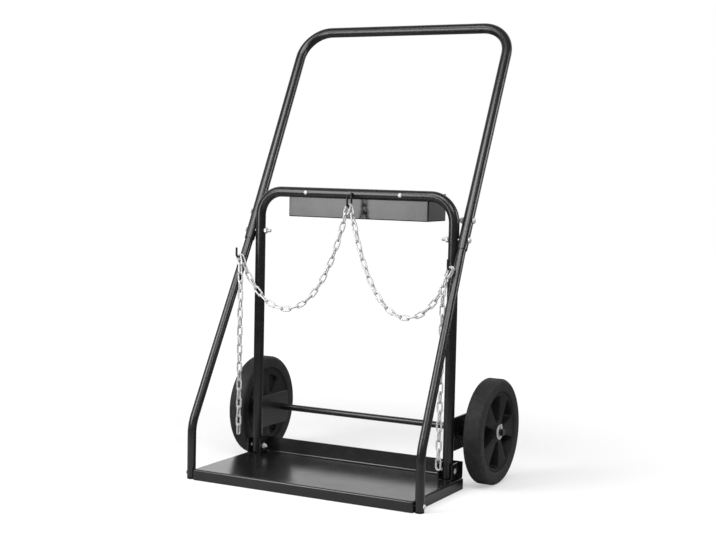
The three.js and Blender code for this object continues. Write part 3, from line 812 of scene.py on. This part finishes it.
# Copies of a shape at places given as a point, the way its axis points and the way its flat faces.
def set_on_points(places, shape, finish):
    points = mesh_of([at for at, _, _ in places], [])
    for name, column in (("along", 1), ("flat", 2)):
        attribute = points.attributes.new(name, "FLOAT_VECTOR", "POINT")
        attribute.data.foreach_set("vector", [c for place in places for c in place[column]])
    template = temporary(shape)
    mesh = grown(points, SET_ON_POINTS, {"Shape": template, "Finish": FINISHES[finish][0]})
    bpy.data.objects.remove(template)
    return mesh


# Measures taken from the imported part

def middle(node):
    low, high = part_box(node)
    return (low + high) / 2


def size(node):
    low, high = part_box(node)
    return high - low


TUBE_R = size("rear_frame").y / 2
STRUT_R = size("left_foot_plug").x / 2
LEG_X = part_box("rear_frame")[1].x - TUBE_R
HANDLE_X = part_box("handle")[1].x - TUBE_R
JOINT = middle("right_lower_joint_bolt")
UPPER_JOINT = middle("right_upper_joint_bolt")
RAKE = Vector((0, UPPER_JOINT.y - JOINT.y, UPPER_JOINT.z - JOINT.z)).normalized()
TRAY_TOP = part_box("left_leg_bracket")[0].z - CLEARANCE


# A point on the raked line of the handle and struts, measured up from the lower joint.
def on_rake(side, distance):
    return Vector((side * HANDLE_X, JOINT.y, JOINT.z)) + RAKE * distance


# Tray

# The tray's front and sides at one height of their bend.
def tray_outline(inset, z):
    low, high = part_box("base_tray")
    x = high.x - inset
    rear = high.y - TRAY_SHEET - TRAY_BEND
    front = low.y + inset
    corner = TRAY_CORNER - inset
    return bent(
        [Vector((-x, rear, z)), Vector((-x, front, z)), Vector((x, front, z)), Vector((x, rear, z))],
        [0, corner, corner, 0],
    )


# The top with its edges turned down at the front and sides, then the flange turned up at the rear.
def tray_mesh():
    low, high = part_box("base_tray")
    rings = [
        tray_outline(TRAY_BEND * (1 - math.sin(a)), TRAY_TOP - TRAY_BEND * (1 - math.cos(a)))
        for a in quarter()
    ]
    rings.append(tray_outline(0, low.z))
    count = len(rings[0])
    verts = [point for ring in rings for point in ring]
    faces = [list(range(count))]
    for row in range(len(rings) - 1):
        for k in range(count - 1):
            start = row * count + k
            faces.append([start + count, start + count + 1, start + 1, start])
    left, right = 0, count - 1
    x = high.x - TRAY_BEND
    bend_start = high.y - TRAY_SHEET - TRAY_BEND
    rows = [
        (bend_start + TRAY_BEND * math.sin(a), TRAY_TOP + TRAY_BEND * (1 - math.cos(a)))
        for a in quarter()[1:]
    ]
    rows.append((bend_start + TRAY_BEND, high.z))
    for y, z in rows:
        verts += [Vector((-x, y, z)), Vector((x, y, z))]
        top_left, top_right = len(verts) - 2, len(verts) - 1
        faces.append([left, right, top_right, top_left])
        left, right = top_left, top_right
    return finished(mesh_of(verts, faces), TRAY_SHEET, EDGE_ROUND)


def make_tray():
    add_piece("folded_tray", tray_mesh(), "cart", "sheet", "base_tray")


# Tubes

def make_back_frame():
    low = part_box("rear_frame")[0].z
    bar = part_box("rear_frame")[1].z - TUBE_R
    y = middle("rear_frame").y
    legs = [Vector((x, y, z)) for x, z in ((-LEG_X, low), (-LEG_X, bar), (LEG_X, bar), (LEG_X, low))]
    mesh = tube(legs, [0, FRAME_BEND, FRAME_BEND, 0], TUBE_R, "tube", TUBE_WALL)
    add_piece("back_frame_tube", mesh, "cart", "tube", "rear_frame")


def make_handle():
    top = (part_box("handle")[1].z - TUBE_R - JOINT.z) / RAKE.z
    loop = [on_rake(-1, -SLEEVE_BELOW), on_rake(-1, top), on_rake(1, top), on_rake(1, -SLEEVE_BELOW)]
    mesh = tube(loop, [0, HANDLE_BEND, HANDLE_BEND, 0], TUBE_R, "tube", TUBE_WALL)
    add_piece("handle_tube", mesh, "cart", "tube", "handle")


def make_strut(name, side, foot, foot_z):
    bend_z = JOINT.z + (foot.y - JOINT.y) * RAKE.z / RAKE.y
    corners = [
        on_rake(side, STRUT_INSIDE),
        on_rake(side, -STRUT_KINK),
        Vector((foot.x, foot.y, bend_z)),
        Vector((foot.x, foot.y, foot_z)),
    ]
    mesh = tube(corners, [0, STRUT_KINK_BEND, STRUT_BEND, 0], STRUT_R, "tube", TUBE_WALL)
    add_piece(f"{name}_raked_tube", mesh, "cart", "tube", f"{name}_strut")


def make_foot_cap(name, foot, foot_z):
    top = size(f"{name}_foot_plug").z
    rim = foot_z - CLEARANCE
    spigot = STRUT_R - TUBE_WALL - CLEARANCE
    profile = rounded_profile(
        [(0, 0), (STRUT_R, 0), (STRUT_R, rim), (spigot, rim), (spigot, top), (0, top)],
        [0, PLUG_EDGE, PLUG_RIM_EDGE, 0, SPIGOT_EDGE, 0],
    )
    mesh = moved(smooth(turned(profile, TUBE_SIDES), TURNED_SHARP), Vector((foot.x, foot.y, 0)))
    add_piece(f"{name}_foot_cap", mesh, "cart", "plastic", f"{name}_foot_plug")


def make_tubes():
    make_back_frame()
    make_handle()
    for name, side in SIDES.items():
        foot = middle(f"{name}_foot_plug")
        foot_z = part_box(f"{name}_strut")[0].z
        make_strut(name, side, foot, foot_z)
        make_foot_cap(name, foot, foot_z)


# Tool box and small sheet parts

# The box's four walls at one height of their bend.
def box_outline(inset, z):
    low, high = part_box("tool_box")
    x, front, rear = high.x - inset, low.y + inset, high.y - inset
    corners = [Vector((-x, front, z)), Vector((x, front, z)), Vector((x, rear, z)), Vector((-x, rear, z))]
    return bent(corners, [BOX_CORNER - inset] * len(corners))


# The floor and four walls, and a lug above the front wall behind the crossbar.
def tool_box_mesh():
    low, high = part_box("tool_box")
    rim = high.z - BOX_LUG_H
    rings = [
        box_outline(BOX_BEND * (1 - math.sin(a)), low.z + BOX_BEND * (1 - math.cos(a)))
        for a in quarter()
    ]
    rings.append(box_outline(0, rim))
    count = len(rings[0])
    verts = [point for ring in rings for point in ring]
    faces = [list(reversed(range(count)))]
    for row in range(len(rings) - 1):
        for k in range(count):
            n = (k + 1) % count
            start = row * count
            faces.append([start + k, start + n, start + count + n, start + count + k])
    left = (len(rings) - 1) * count + CORNER_STEPS
    right = left + 1
    verts += [verts[left] + Z_AXIS * BOX_LUG_H, verts[right] + Z_AXIS * BOX_LUG_H]
    faces.append([left, right, len(verts) - 1, len(verts) - 2])
    return finished(mesh_of(verts, faces), BOX_SHEET, EDGE_ROUND)


def bracket_mesh(name):
    low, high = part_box(name)
    ends = ((low.x, high.z), (low.x, low.z), (high.x, low.z), (high.x, high.z))
    strap = bent([Vector((x, 0, z)) for x, z in ends], [0, BRACKET_BEND, BRACKET_BEND, 0])
    verts = [Vector((p.x, y, p.z)) for p in strap for y in (low.y, high.y)]
    faces = [[2 * k, 2 * k + 2, 2 * k + 3, 2 * k + 1] for k in range(len(strap) - 1)]
    return finished(mesh_of(verts, faces), BRACKET_SHEET, EDGE_ROUND)


def plate_mesh(name):
    low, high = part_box(name)
    corners = [
        Vector((high.x, y, z))
        for y, z in ((low.y, low.z), (high.y, low.z), (high.y, high.z), (low.y, high.z))
    ]
    outline = bent(corners, [0, PLATE_CORNER, PLATE_CORNER, 0], PLATE_STEPS)
    return finished(mesh_of(outline, [list(range(len(outline)))]), high.x - low.x, PLATE_EDGE)


def make_sheet_parts():
    add_piece("folded_tool_box", tool_box_mesh(), "cart", "sheet", "tool_box")
    for name in SIDES:
        bracket = f"{name}_leg_bracket"
        add_piece(f"{name}_foot_strap", bracket_mesh(bracket), "cart", "tube", bracket)
        plate = f"{name}_axle_plate"
        add_piece(f"{name}_axle_lug", plate_mesh(plate), "cart", "tube", plate)


# Hooks

def make_hooks():
    frame_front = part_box("rear_frame")[0].y
    back = frame_front - HOOK_R - CLEARANCE
    low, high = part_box("centre_hook")
    bottom = low.z + HOOK_R
    front = low.y + HOOK_R * PACKED_ROD_FLAT
    corners = [
        Vector((0, back, high.z)),
        Vector((0, back, bottom)),
        Vector((0, front, bottom)),
        Vector((0, front, bottom + EYE_TIP_H)),
    ]
    mesh = rod(corners, [0, EYE_BEND, EYE_BEND, 0], HOOK_R, "tube")
    add_piece("middle_hook", mesh, "cart", "tube", "centre_hook")
    for name in SIDES:
        at = Vector(JOINTS[f"{name}_tail_swing"]["pos_m"])
        tip = at - Y_AXIS * HOOK_TIP
        corners = [at + Y_AXIS * HOOK_ROOT, tip, tip + Z_AXIS * HOOK_TIP_H]
        mesh = rod(corners, [0, HOOK_BEND, 0], HOOK_R, "tube")
        add_piece(f"{name}_side_hook", mesh, "cart", "tube", f"{name}_chain_hook")


# Wheels

# A wheel is made with its outer face to +X, so the left one is turned round.
def wheel_place(name):
    turn = Matrix.Rotation(0 if name == "right" else math.pi, 4, "Z")
    return Matrix.Translation(Vector(JOINTS[f"{name}_wheel_spin"]["pos_m"])) @ turn


# A point of the tread at a distance across it from its middle: radius, width and slope.
def tread_point(across, radius, half):
    flat = half - TYRE_SHOULDER
    past = max(abs(across) - flat, 0)
    angle = min(past / TYRE_SHOULDER, math.pi / 2)
    drop = TYRE_SHOULDER * (1 - math.cos(angle))
    width = min(abs(across), flat) + TYRE_SHOULDER * math.sin(angle)
    return radius - drop, math.copysign(width, across), math.copysign(angle, across)


def tyre_mesh(radius, half):
    bead = radius - TYRE_H + CLEARANCE
    carcass = radius - BLOCK_H
    side = [
        (bead, half - BEAD_INSET),
        (bead + BEAD_H / 2, half - BEAD_MIDDLE_INSET),
        (bead + BEAD_H, half - BEAD_EDGE_INSET),
    ]
    shoulder = [
        (carcass - TYRE_SHOULDER * (1 - math.sin(a)), half - TYRE_SHOULDER * (1 - math.cos(a)))
        for a in quarter(SHOULDER_STEPS)
    ]
    outer = side + shoulder
    profile = [(r, -x) for r, x in outer] + list(reversed(outer))
    tyre = smooth(along_x(turned(profile, WHEEL_STEPS, ring=True)), TURNED_SHARP)
    return joined([tyre, tread_mesh(carcass, half)])


# Diamond blocks, each row half a step round from the last.
def tread_mesh(carcass, half):
    step = 2 * math.pi / BLOCKS_ROUND
    long = carcass * step / 2 - BLOCK_GROOVE / 2
    wide = BLOCK_ROW_STEP - BLOCK_GROOVE / 2
    corners = ((long, 0), (0, wide), (-long, 0), (0, -wide))
    root = [(x, y, -BLOCK_ROOT) for x, y in corners]
    crown = [(x * BLOCK_TAPER, y * BLOCK_TAPER, BLOCK_H) for x, y in corners]
    verts = root + crown
    faces = [[3, 2, 1, 0], [4, 5, 6, 7]] + [[k, (k + 1) % 4, (k + 1) % 4 + 4, k + 4] for k in range(4)]
    block = mesh_of(verts, faces)
    places = []
    for row in range(BLOCK_ROWS):
        across = (row - (BLOCK_ROWS - 1) / 2) * BLOCK_ROW_STEP
        stagger = row % 2 / 2
        radius, width, slope = tread_point(across, carcass, half)
        for k in range(BLOCKS_ROUND):
            angle = (k + stagger) * step
            out = Vector((0, math.cos(angle), math.sin(angle)))
            along = out * math.cos(slope) + X_AXIS * math.sin(slope)
            flat = Vector((0, -math.sin(angle), math.cos(angle)))
            places.append((out * radius + X_AXIS * width, along, flat))
    return set_on_points(places, block, "rubber")


# How far a window reaches from the axle, at the hub and at the rim.
def window_reach():
    return HUB_R + WINDOW_FROM_HUB, size("right_tyre").z / 2 - TYRE_H - RIM_WALL - WINDOW_FROM_RIM


# A wedge between two spokes, with rounded corners and an arc along the rim.
def window_outline():
    near, far = window_reach()
    near_half = math.pi / SPOKES - math.asin(SPOKE_HUB_W / 2 / near)
    far_half = math.pi / SPOKES - math.asin(SPOKE_RIM_W / 2 / far)
    arc = [far_half * (2 * k / WINDOW_ARC_STEPS - 1) for k in range(WINDOW_ARC_STEPS + 1)]
    polar = [(near, -near_half), *((far, angle) for angle in arc), (near, near_half)]
    points = [Vector((r * math.cos(angle), r * math.sin(angle), 0)) for r, angle in polar]
    radii = [WINDOW_ROUND] * 2 + [0] * (len(points) - 4) + [WINDOW_ROUND] * 2
    return bent(points, radii)


# A plate of the given half thickness, with the inner outlines cut out and its edges rounded.
def flat_shape(outlines, half, edge):
    curve = bpy.data.curves.new("shape", "CURVE")
    curve.dimensions = "2D"
    curve.fill_mode = "BOTH"
    curve.extrude = half - edge
    curve.bevel_depth = edge
    curve.bevel_resolution = EDGE_STEPS
    curve.offset = -edge
    for outline in outlines:
        spline = curve.splines.new("POLY")
        spline.points.add(len(outline) - 1)
        for point, place in zip(spline.points, outline):
            point.co = (*place, 1)
        spline.use_cyclic_u = True
    return settled(temporary(curve))


# Moulded windows have draft: they narrow from the outer face to the inner one.
def give_draft(web, rim_r, turns):
    middles = [turn @ X_AXIS * (sum(window_reach()) / 2) for turn in turns]
    for vertex in web.vertices:
        flat = Vector((vertex.co.x, vertex.co.y, 0))
        if flat.length < rim_r - RIM_WALL / 2:
            nearest = min(middles, key=lambda place: (place - flat).length)
            inward = (RIM_HALF_W - vertex.co.z) / (2 * RIM_HALF_W)
            vertex.co += (nearest - flat) * WINDOW_DRAFT * inward


# A web flush with the tyre's beads, and a hub that runs from one washer to the other.
def rim_mesh(name, radius):
    rim_r = radius - TYRE_H
    window = window_outline()
    angles = [FIRST_WINDOW + 2 * math.pi * k / SPOKES for k in range(SPOKES)]
    turns = [Matrix.Rotation(angle, 3, "Z") for angle in angles]
    steps = [2 * math.pi * k / WHEEL_STEPS for k in range(WHEEL_STEPS)]
    circle = [Vector((rim_r * math.cos(a), rim_r * math.sin(a), 0)) for a in steps]
    web = flat_shape([circle] + [[turn @ p for p in window] for turn in turns], RIM_HALF_W, RIM_EDGE)
    give_draft(web, rim_r, turns)
    low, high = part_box(f"{name}_rim")
    inner_x, outer_x = (low.x, high.x) if name == "right" else (-high.x, -low.x)
    centre = JOINTS[f"{name}_wheel_spin"]["pos_m"][0] * SIDES[name]
    inner, outer = inner_x - centre, outer_x - centre
    inside = [(BORE_R, inner), (HUB_NOSE_R, inner), (HUB_R, -RIM_HALF_W)]
    outside = [(HUB_R, 0), (HUB_NOSE_R, outer), (BORE_R, outer)]
    profile = rounded_profile(inside + outside, [HUB_EASE, HUB_INNER_ROUND, 0, 0, HUB_EASE, HUB_EASE])
    hub = turned(profile, RING_STEPS, ring=True)
    return smooth(tidied(along_x(joined([web, hub]))), TURNED_SHARP)


def make_wheels():
    for name in SIDES:
        radius = size(f"{name}_tyre").z / 2
        half = size(f"{name}_tyre").x / 2
        place = wheel_place(name)
        for piece, mesh, finish, node in (
            ("solid_tyre", tyre_mesh(radius, half), "rubber", "tyre"),
            ("spoked_rim", rim_mesh(name, radius), "plastic", "rim"),
        ):
            mesh.transform(place)
            add_piece(f"{name}_{piece}", mesh, f"{name}_wheel", finish, f"{name}_{node}")


# Axle and what keeps the wheels on

def make_axle_bar():
    low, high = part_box("axle")
    radius = size("axle").z / 2
    tip = radius - AXLE_CHAMFER
    profile = [(0, low.x), (tip, low.x), (radius, low.x + AXLE_CHAMFER)]
    profile += [(radius, high.x - AXLE_CHAMFER), (tip, high.x), (0, high.x)]
    centre = middle("axle")
    mesh = moved(smooth(along_x(turned(profile, TUBE_SIDES))), Vector((0, centre.y, centre.z)))
    add_piece("axle_bar", mesh, "cart", "tube", "axle")


def make_washers():
    nodes = [f"{name}_{place}_washer" for name in SIDES for place in ("inner", "outer")]
    half, outside = size(nodes[0]).x / 2, size(nodes[0]).z / 2
    profile = rounded_profile(
        [(BORE_R, -half), (outside, -half), (outside, half), (BORE_R, half)],
        [WASHER_BORE_EASE, WASHER_EASE, WASHER_EASE, WASHER_BORE_EASE],
    )
    ring = turned(profile, RING_STEPS, ring=True)
    mesh = set_on_points([(middle(node), X_AXIS, Y_AXIS) for node in nodes], ring, "zinc")
    add_piece("axle_washers", smooth(mesh), "cart", "zinc", *nodes)


# A split pin: an eye of wire above the axle and two legs spread below it.
def make_split_pins():
    axle = middle("axle")
    below = axle.z - size("axle").z / 2 - COTTER_WIRE
    gap = math.asin(COTTER_HALF_GAP / COTTER_EYE_R)
    sweep = 2 * math.pi - 2 * gap
    turns = [-math.pi / 2 - gap - sweep * k / COTTER_EYE_STEPS for k in range(COTTER_EYE_STEPS + 1)]
    for name in SIDES:
        node = f"{name}_cotter_pin"
        low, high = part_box(node)
        at = Vector((middle(node).x, axle.y, 0))
        eye_z = high.z - COTTER_WIRE - COTTER_EYE_R
        eye = [(COTTER_EYE_R * math.cos(a), eye_z + COTTER_EYE_R * math.sin(a)) for a in turns]
        leg = [(-COTTER_SPREAD, low.z + COTTER_WIRE), (-COTTER_HALF_GAP, below)]
        outline = leg + eye + [(-y, z) for y, z in reversed(leg)]
        corners = [at + Vector((0, y, z)) for y, z in outline]
        mesh = rod(corners, [0.0] * len(corners), COTTER_WIRE, "zinc")
        add_piece(f"{name}_split_pin", mesh, "cart", "zinc", node)


# Bolts and nuts

# A domed head below the seat, and a shank above it whose far end is threaded.
def bolt_shape(radius, length):
    head_r, head_h = radius * HEAD_R, radius * HEAD_H
    heights = [(a, HEAD_RIM + (1 - HEAD_RIM) * math.cos(a)) for a in quarter(DOME_STEPS)]
    dome = [(head_r * math.sin(a), -head_h * height) for a, height in heights]
    pitch = radius * THREAD_PITCH
    threads = max(int(length * THREADED / pitch), FEWEST_THREADS)
    start = length - threads * pitch
    profile = [*dome, (head_r, 0), (radius, 0), (radius, start - pitch / 2)]
    for k in range(threads):
        profile.append((radius, start + (k + THREAD_CREST) * pitch))
        profile.append((radius * THREAD_ROOT_R, start + (k + THREAD_ROOT) * pitch))
    profile += [(radius * BOLT_TIP_R, length), (0, length)]
    return turned(profile, BOLT_SIDES)


def nut_shape(radius):
    outside, tall = radius * NUT_R, radius * NUT_H
    ease = radius * NUT_EASE
    profile = [(radius, 0), (outside - ease, 0), (outside, ease)]
    profile += [(outside, tall - ease), (outside - ease, tall), (radius, tall)]
    return turned(profile, NUT_SIDES, ring=True)


def make_fasteners():
    bolts, nuts, bolt_nodes, nut_nodes = [], [], [], []
    for kind, radius in FASTENERS.items():
        bolt_places, nut_places = [], []
        for name, side in SIDES.items():
            along = Y_AXIS if kind == "box" else X_AXIS * -side
            bolt, nut = f"{name}_{kind}_bolt", f"{name}_{kind}_nut"
            reach = abs(size(bolt).dot(along))
            seat = middle(bolt) - along * (reach / 2 - radius * HEAD_H)
            nut_seat = middle(nut) - along * (abs(size(nut).dot(along)) / 2)
            bolt_places.append((seat, along, Z_AXIS))
            nut_places.append((nut_seat, along, Z_AXIS))
            bolt_nodes.append(bolt)
            nut_nodes.append(nut)
        bolts.append(set_on_points(bolt_places, bolt_shape(radius, reach - radius * HEAD_H), "zinc"))
        nuts.append(set_on_points(nut_places, nut_shape(radius), "zinc"))
    add_piece("domed_bolts", smooth(joined(bolts), BOLT_SHARP), "cart", "zinc", *bolt_nodes)
    add_piece("hexagon_nuts", smooth(joined(nuts), NUT_SHARP), "cart", "zinc", *nut_nodes)


# Chains

# The scale of a catenary of given length between two points, found by halving, and the
# distance from its first point to its lowest.
def catenary(span, rise, length):
    target = math.sqrt(length ** 2 - rise ** 2)
    low, high = span / CATENARY_RANGE, span * CATENARY_RANGE
    for _ in range(CATENARY_HALVINGS):
        scale = (low + high) / 2
        stretch = 2 * scale * math.sinh(span / (2 * scale))
        if stretch > target:
            low = scale
        else:
            high = scale
    return scale, span / 2 - scale * math.asinh(rise / stretch)


# Where the links of a swag meet, from the middle hook to the side hook, and the way across it.
def swag_nodes(name):
    joint = JOINTS[f"{name}_swag_swing"]
    seat, axis = Vector(joint["pos_m"]), Vector(joint["axis"])
    hook_x = JOINTS[f"{name}_tail_swing"]["pos_m"][0]
    end = seat + axis * ((hook_x - seat.x) / axis.x)
    level = Vector((end.x - seat.x, end.y - seat.y, 0)).normalized()
    first = (level * math.tan(EYE_SPLAY) - Z_AXIS).normalized() * PITCH
    start = seat - first * (END_BACK / PITCH)
    source = start + first
    span = Vector((end.x - source.x, end.y - source.y)).length
    scale, lowest = catenary(span, end.z - source.z, (SWAG_LINKS - 1) * PITCH - END_BACK)
    arc = scale * math.sinh(-lowest / scale)
    base = source.z - scale * math.cosh(-lowest / scale)
    nodes = [start]
    for k in range(SWAG_LINKS):
        x = lowest + scale * math.asinh((arc + k * PITCH) / scale)
        at = source + level * x
        at.z = base + scale * math.cosh((x - lowest) / scale)
        nodes.append(at)
    return nodes, Z_AXIS.cross(level)


# Where the links of a loose end meet: its first links lean past the strut, the rest hang straight.
def tail_nodes(name):
    side = SIDES[name]

    def step(k):
        inward = TAIL_INWARD[k] if k < len(TAIL_INWARD) else 0
        forward = TAIL_FORWARD[k] if k < len(TAIL_FORWARD) else 0
        return Vector((-side * math.tan(inward), -math.tan(forward), -1)).normalized() * PITCH

    nodes = [Vector(JOINTS[f"{name}_tail_swing"]["pos_m"]) - step(0) * (END_BACK / PITCH)]
    for k in range(TAIL_LINKS[name]):
        nodes.append(nodes[-1] + step(k))
    return nodes, Y_AXIS


# Links between the nodes of a hanging line, each a quarter turn from the last.
def chain_mesh(nodes, across):
    settings = {
        "Length": LINK_L,
        "Width": LINK_W,
        "Wire Radius": WIRE_R,
        "End Radius": LINK_W / 2,
        "Stations": LINK_STATIONS,
        "Sides": LINK_SIDES,
        "Finish": FINISHES["zinc"][0],
    }
    link = grown(mesh_of([(0, 0, 0)], []), CHAIN_LINK, settings)
    link.transform(Matrix.Rotation(math.pi / 2, 4, "X"))
    places = []
    for k, (start, end) in enumerate(zip(nodes, nodes[1:])):
        along = (start - end).normalized()
        flat = across.cross(along).normalized()
        if k % 2:
            flat = along.cross(flat)
        places.append(((start + end) / 2, along, flat))
    return smooth(set_on_points(places, link, "zinc"), LINK_SHARP)


def make_chains():
    for name in SIDES:
        for length, nodes in (("swag", swag_nodes(name)), ("tail", tail_nodes(name))):
            mesh = chain_mesh(*nodes)
            add_piece(f"{name}_{length}_links", mesh, f"{name}_{length}", "zinc", f"{name}_chain_{length}")


bpy.context.scene.view_settings.view_transform = "Standard"
add_camera()
set_world()
set_light()
add_floor()
make_tray()
make_tubes()
make_sheet_parts()
make_hooks()
make_wheels()
make_axle_bar()
make_washers()
make_split_pins()
make_fasteners()
make_chains()
